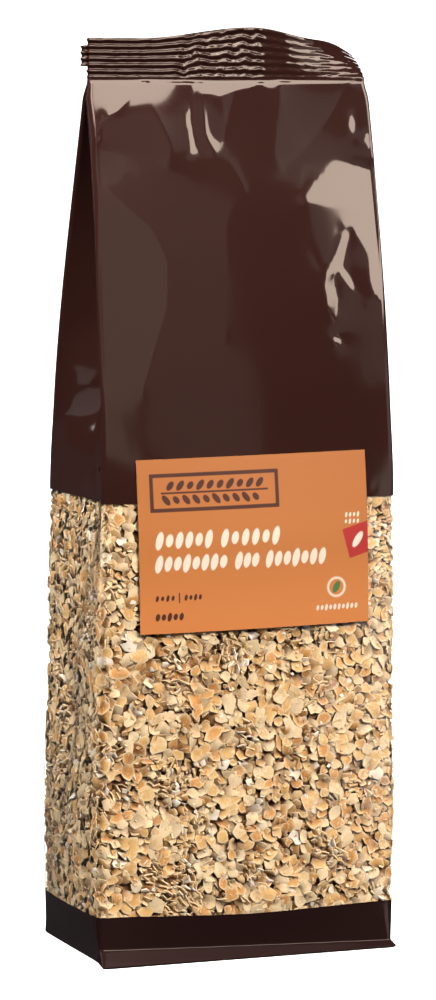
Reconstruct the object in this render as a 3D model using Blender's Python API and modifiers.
"""A side-gusseted film bag of fine rolled oats, heat-sealed along its top, with a paper label on its front.

The bag stands on its folded block bottom. Metres, +Z up, the front faces -Y, and the origin is the middle of
the base. The film with what it holds is one closed solid, lofted through level sections. The label is a second.
"""

import math

import bmesh
import bpy

MM = 0.001

# Driving sizes of the bag. Its lowest stretch is the printed band round the base
PACK_DEPTH = 56 * MM
SEAL_FOOT = 277 * MM
SEAL_HEIGHT = 12.7 * MM
SEAL_THICKNESS = 1.4 * MM
BASE_BAND = 15 * MM

# How the front and back lean together from the filled part up to the seal, and how the top stands to one side
LEAN_START = 130 * MM
LEAN_SHARE = 0.93
LEAN_POWER = 1.65
PINCH_HEIGHT = 5 * MM
TOP_SHIFT = 1.1 * MM
SHIFT_START = 170 * MM

# Stops of (height, size), going up: the half width at the upright edges, their rounding, and the panels' crowns
HALF_WIDTH = ((0, 49.4 * MM), (15 * MM, 50.4 * MM), (42 * MM, 51.2 * MM), (100 * MM, 50.3 * MM),
              (145 * MM, 49.2 * MM), (175 * MM, 48.7 * MM), (270 * MM, 47.9 * MM), (277 * MM, 46.9 * MM))
EDGE_ROUNDING = ((0, 1.2 * MM), (14 * MM, 3.5 * MM), (80 * MM, 4.5 * MM), (130 * MM, 3 * MM),
                 (165 * MM, 1.2 * MM))
FRONT_CROWN = ((0, 0), (22 * MM, 2.6 * MM), (115 * MM, 2.8 * MM), (180 * MM, 1.2 * MM), (272 * MM, 0))
BACK_CROWN = ((0, 0), (60 * MM, 6.5 * MM), (110 * MM, 5 * MM), (180 * MM, 1.5 * MM), (272 * MM, 0))
SIDE_CROWN = ((0, 0), (20 * MM, 1.2 * MM), (50 * MM, 1.8 * MM), (100 * MM, 0.8 * MM), (145 * MM, 0))

# The fold of each side panel: how deep it is, and where it lies, from the front edge (-1) to the back one (1)
FOLD_DEPTH = ((36 * MM, 0), (70 * MM, 2.4 * MM), (82 * MM, 2.8 * MM), (145 * MM, 1.8 * MM),
              (160 * MM, 4.5 * MM), (178 * MM, 10 * MM), (200 * MM, 17 * MM), (240 * MM, 24 * MM),
              (272 * MM, 26 * MM))
FOLD_PLACE = ((36 * MM, 0.4), (72 * MM, 0.08), (83 * MM, 0.4), (141 * MM, -0.78), (170 * MM, 0))

# The folded base: a skirt along the front, longer at its left, and an ear at each front corner
SKIRT_LEFT = 8.1 * MM
SKIRT_RIGHT = 4.4 * MM
SKIRT_BACK = 1 * MM
SKIRT_HEIGHT = 5 * MM
EAR_LEFT = 2.4 * MM
EAR_RIGHT = 1.2 * MM
EAR_WIDTH = 8 * MM
BASE_EDGE = 0.6 * MM

# The top seal: pressed ribs, a raised middle, a right end that curls back, and inner layers showing at the left
RIB_COUNT = 6
RIB_RELIEF = 0.3 * MM
SEAL_RISE = 3.6 * MM
RISE_CENTRE = 9 * MM
RISE_REACH_LEFT = 38 * MM
RISE_REACH_RIGHT = 24 * MM
CURL_START = 20 * MM
CURL_ANGLE = math.radians(57)
CURL_POWER = 1.7
LAYER_STEP = 2 * MM
LAYER_FOOT = 0.4
LAYER_TOP = 0.8

# The paper label on the front, and the lap seam up the back
LABEL_WIDTH = 77 * MM
LABEL_HEIGHT = 54.5 * MM
LABEL_CENTRE_X = 0.4 * MM
LABEL_CENTRE_Z = 132.4 * MM
LABEL_TILT = math.radians(1.1)
LABEL_THICKNESS = 0.4 * MM
LABEL_GAP = 0.3 * MM
BACK_SEAM_WIDTH = 12 * MM
BACK_SEAM_THICKNESS = LABEL_GAP + LABEL_THICKNESS

# How finely the sections are drawn
FRONT_STEPS = 12
SIDE_STEPS = 8
CORNER_STEPS = 3
BODY_STEP = 9 * MM
LABEL_COLUMNS = 10
LABEL_ROWS = 7
SHARP_ANGLE = math.radians(35)


def share(low, high, value):
    """How far value lies from low to high, from 0 to 1."""
    return min(1.0, max(0.0, (value - low) / (high - low)))


def smooth(low, high, value):
    """The same share, eased in and out."""
    part = share(low, high, value)
    return part * part * (3 - 2 * part)


def follow(stops, height, ease=smooth):
    """The size at a height between stops of (height, size)."""
    size = stops[0][1]
    for (low, before), (high, after) in zip(stops, stops[1:]):
        if height >= low:
            size = before + (after - before) * ease(low, high, height)
    return size


def half_depth(height):
    """Half the distance from the front edges to the back edges."""
    lean = share(LEAN_START, SEAL_FOOT, height)
    open_depth = PACK_DEPTH / 2 * (1 - LEAN_SHARE * lean ** LEAN_POWER)
    pinch = smooth(SEAL_FOOT - PINCH_HEIGHT, SEAL_FOOT, height)
    return open_depth + (SEAL_THICKNESS / 2 - open_depth) * pinch


def half_width(height):
    return follow(HALF_WIDTH, height)


def edge_rounding(height):
    return min(follow(EDGE_ROUNDING, height), 0.9 * half_depth(height))


def side_reach(along, height):
    """How far a side panel stands out from the line of its two edges, which are at -1 (front) and 1 (back)."""
    place = follow(FOLD_PLACE, height, share)
    closing = 1 - smooth(SEAL_FOOT - PINCH_HEIGHT / 2, SEAL_FOOT, height)
    depth = follow(FOLD_DEPTH, height, share) * closing
    edge = 1 if along > place else -1
    fold = (edge - along) / (edge - place)
    return follow(SIDE_CROWN, height) * (1 - along * along) - depth * fold


def panel_y(x, height, crown_stops):
    """How far out the front or back panel stands at a point of it."""
    across = min(1.0, abs(x) / (half_width(height) - edge_rounding(height)))
    return half_depth(height) + follow(crown_stops, height) * (1 - across * across)


def front_panel(height):
    reach = half_width(height) - edge_rounding(height)
    steps = [reach * (2 * i / FRONT_STEPS - 1) for i in range(FRONT_STEPS + 1)]
    return [(x, -panel_y(x, height, FRONT_CROWN)) for x in steps]


def back_panel(height):
    """The back, from right to left, with the lap seam as a raised strip up its middle."""
    half_seam = BACK_SEAM_WIDTH / 2
    seam = BACK_SEAM_THICKNESS * (1 - smooth(SEAL_FOOT - 2 * PINCH_HEIGHT, SEAL_FOOT, height))
    reach = half_width(height) - edge_rounding(height)
    outer_steps = FRONT_STEPS // 2
    outer = [reach + (half_seam - reach) * i / outer_steps for i in range(outer_steps + 1)]
    right = [(x, panel_y(x, height, BACK_CROWN)) for x in outer]
    strip_edge = half_seam - BACK_SEAM_THICKNESS / 2
    strip = [(x, panel_y(x, height, BACK_CROWN) + seam) for x in (strip_edge, 0.0, -strip_edge)]
    left = [(-x, y) for x, y in reversed(right)]
    return right + strip + left


def corner(centre_x, centre_y, radius, start):
    """The points of a quarter turn, anticlockwise from the angle start, without its two ends."""
    turns = [start + math.pi / 2 * i / CORNER_STEPS for i in range(1, CORNER_STEPS)]
    return [(centre_x + radius * math.cos(a), centre_y + radius * math.sin(a)) for a in turns]


def right_side(height):
    """The right panel, from the front edge to the back one, with its middle point on the fold."""
    reach = half_depth(height) - edge_rounding(height)
    place = follow(FOLD_PLACE, height, share)
    half_steps = SIDE_STEPS // 2
    places = [-1 + (place + 1) * i / half_steps for i in range(half_steps)]
    places += [place + (1 - place) * i / half_steps for i in range(half_steps + 1)]
    return [(half_width(height) + side_reach(along, height), reach * along) for along in places]


def flare(x, y, height):
    """Moves a point near the base outwards: the folded skirts, and the ears of the front corners."""
    low = max(0.0, 1 - height / SKIRT_HEIGHT)
    to_right = share(-half_width(0), half_width(0), x)
    front_skirt = SKIRT_LEFT + (SKIRT_RIGHT - SKIRT_LEFT) * to_right
    skirt = -front_skirt if y < 0 else SKIRT_BACK
    near_edge = share(0.5, 0.95, abs(y) / half_depth(0))
    to_corner = math.hypot(half_width(0) - abs(x), half_depth(0) + y)
    near_corner = max(0.0, 1 - to_corner / EAR_WIDTH)
    ear = EAR_RIGHT if x > 0 else -EAR_LEFT
    return x + ear * near_corner * low, y + skirt * near_edge * low


def section(height):
    """The closed outline of the bag at a height, anticlockwise from its front left."""
    radius = edge_rounding(height)
    x, y = half_width(height) - radius, half_depth(height) - radius
    side = right_side(height)
    outline = front_panel(height)
    outline += corner(x, -y, radius, -math.pi / 2) + side
    outline += corner(x, y, radius, 0) + back_panel(height)
    outline += corner(-x, y, radius, math.pi / 2) + [(-a, b) for a, b in reversed(side)]
    outline += corner(-x, -y, radius, math.pi)
    shift = TOP_SHIFT * smooth(SHIFT_START, SEAL_FOOT, height)
    flared = [flare(a, b, height) for a, b in outline]
    return [(a + shift, b) for a, b in flared]


def body_heights():
    """The levels of the filled bag, closer together at the base and under the seal."""
    near_base = [BASE_EDGE, SKIRT_HEIGHT / 2, SKIRT_HEIGHT, 2 * SKIRT_HEIGHT, BASE_BAND]
    span = SEAL_FOOT - 2 * PINCH_HEIGHT - BASE_BAND
    count = round(span / BODY_STEP)
    middle = [BASE_BAND + span * i / count for i in range(1, count + 1)]
    pinch = [SEAL_FOOT - PINCH_HEIGHT * part for part in (1, 0.66, 0.33, 0)]
    return near_base + middle + pinch


def seal_point(x, y, part):
    """A point part of the way up the seal, with its raised middle, its curled right end and the left's step."""
    half_seal = half_width(SEAL_FOOT)
    reach = RISE_REACH_RIGHT if x > RISE_CENTRE else RISE_REACH_LEFT
    bump = math.cos(min(1.0, abs(x - RISE_CENTRE) / reach) * math.pi / 2) ** 2
    up = part * (SEAL_HEIGHT + SEAL_RISE * bump)
    turned = CURL_ANGLE * share(CURL_START, half_seal + TOP_SHIFT, x) ** CURL_POWER
    back = y * math.cos(turned) + up * math.sin(turned)
    rise = up * math.cos(turned) - y * math.sin(turned)
    if y > 0 and x < TOP_SHIFT - half_seal + SEAL_THICKNESS and LAYER_FOOT < part < LAYER_TOP:
        x -= LAYER_STEP
    return x, back, SEAL_FOOT + rise


def seal_loops():
    """The outlines up the seal: two to a rib, one at its crest and one in the groove above it."""
    outline = section(SEAL_FOOT)
    crest = 1 + RIB_RELIEF / (SEAL_THICKNESS / 2)
    loops = []
    for level in range(1, 2 * RIB_COUNT + 1):
        thickness = crest if level % 2 else 1.0
        loops.append([seal_point(x, y * thickness, level / (2 * RIB_COUNT)) for x, y in outline])
    return loops


def inset_base():
    """The outline that the bag stands on, drawn in a little so that the base's edge is not knife-sharp."""
    shrink_x = 1 - BASE_EDGE / half_width(0)
    shrink_y = 1 - BASE_EDGE / half_depth(0)
    return [(x * shrink_x, y * shrink_y, 0.0) for x, y in section(BASE_EDGE)]


def close_top(bm, ring):
    """Closes the curled top: a strip between its front and back edges, from the left end to the right."""
    count = len(ring)
    left = min(range(count), key=lambda i: ring[i].co.x)
    right = max(range(count), key=lambda i: ring[i].co.x)
    front = [ring[(left + i) % count] for i in range((right - left) % count + 1)]
    back = [ring[(left - i) % count] for i in range((left - right) % count + 1)]
    i = j = 0
    while i + 1 < len(front) or j + 1 < len(back):
        ahead = front[min(i + 1, len(front) - 1)].co.x <= back[min(j + 1, len(back) - 1)].co.x
        if j + 1 == len(back) or (ahead and i + 1 < len(front)):
            corners = (front[i], front[i + 1], back[j])
            i += 1
        else:
            corners = (front[i], back[j + 1], back[j])
            j += 1
        if len(set(corners)) == len(corners):
            bm.faces.new(corners)


def lofted(name, loops):
    """A closed mesh through loops of as many points each. The base is a flat face."""
    bm = bmesh.new()
    rings = [[bm.verts.new(point) for point in loop] for loop in loops]
    for lower, upper in zip(rings, rings[1:]):
        for i in range(len(lower)):
            after = (i + 1) % len(lower)
            bm.faces.new((lower[i], lower[after], upper[after], upper[i]))
    base = bm.faces.new(list(reversed(rings[0])))
    bmesh.ops.triangulate(bm, faces=[base])
    close_top(bm, rings[-1])
    mesh = bpy.data.meshes.new(name)
    bm.to_mesh(mesh)
    bm.free()
    return mesh


def material(name, colour, roughness):
    made = bpy.data.materials.new(name)
    made.use_nodes = True
    shader = made.node_tree.nodes["Principled BSDF"]
    shader.inputs["Base Color"].default_value = (*colour, 1)
    shader.inputs["Roughness"].default_value = roughness
    shader.inputs["Metallic"].default_value = 0
    return made


def build_bag(collection):
    """The film with what it holds, as one solid: base, filled body, folded-in gussets and top seal."""
    loops = [inset_base()]
    loops += [[(x, y, height) for x, y in section(height)] for height in body_heights()]
    loops += seal_loops()
    mesh = lofted("bag", loops)
    collection.objects.link(bpy.data.objects.new("bag", mesh))
    mesh.materials.append(material("printed_film", (0.055, 0.018, 0.014), 0.18))
    mesh.shade_smooth()
    mesh.set_sharp_from_angle(angle=SHARP_ANGLE)


def build_label(collection):
    """The label: a flat grid laid onto the crowned front, then given its thickness outwards."""
    bpy.ops.mesh.primitive_grid_add(x_subdivisions=LABEL_COLUMNS, y_subdivisions=LABEL_ROWS, size=1)
    label = bpy.context.active_object
    label.name = "label"
    for vertex in label.data.vertices:
        across, up = vertex.co.x * LABEL_WIDTH, vertex.co.y * LABEL_HEIGHT
        x = LABEL_CENTRE_X + across * math.cos(LABEL_TILT) - up * math.sin(LABEL_TILT)
        z = LABEL_CENTRE_Z + across * math.sin(LABEL_TILT) + up * math.cos(LABEL_TILT)
        vertex.co = (x, -panel_y(x, z, FRONT_CROWN) - LABEL_GAP, z)
    paper = label.modifiers.new("thickness", "SOLIDIFY")
    paper.thickness = LABEL_THICKNESS
    paper.offset = 1
    label.data.materials.append(material("label_paper", (0.72, 0.25, 0.075), 0.45))
    for other in list(label.users_collection):
        other.objects.unlink(label)
    collection.objects.link(label)


def main():
    for old in list(bpy.data.objects):
        bpy.data.objects.remove(old)
    parts = bpy.data.collections.new("bag_of_rolled_oats")
    bpy.context.scene.collection.children.link(parts)
    build_bag(parts)
    build_label(parts)


main()
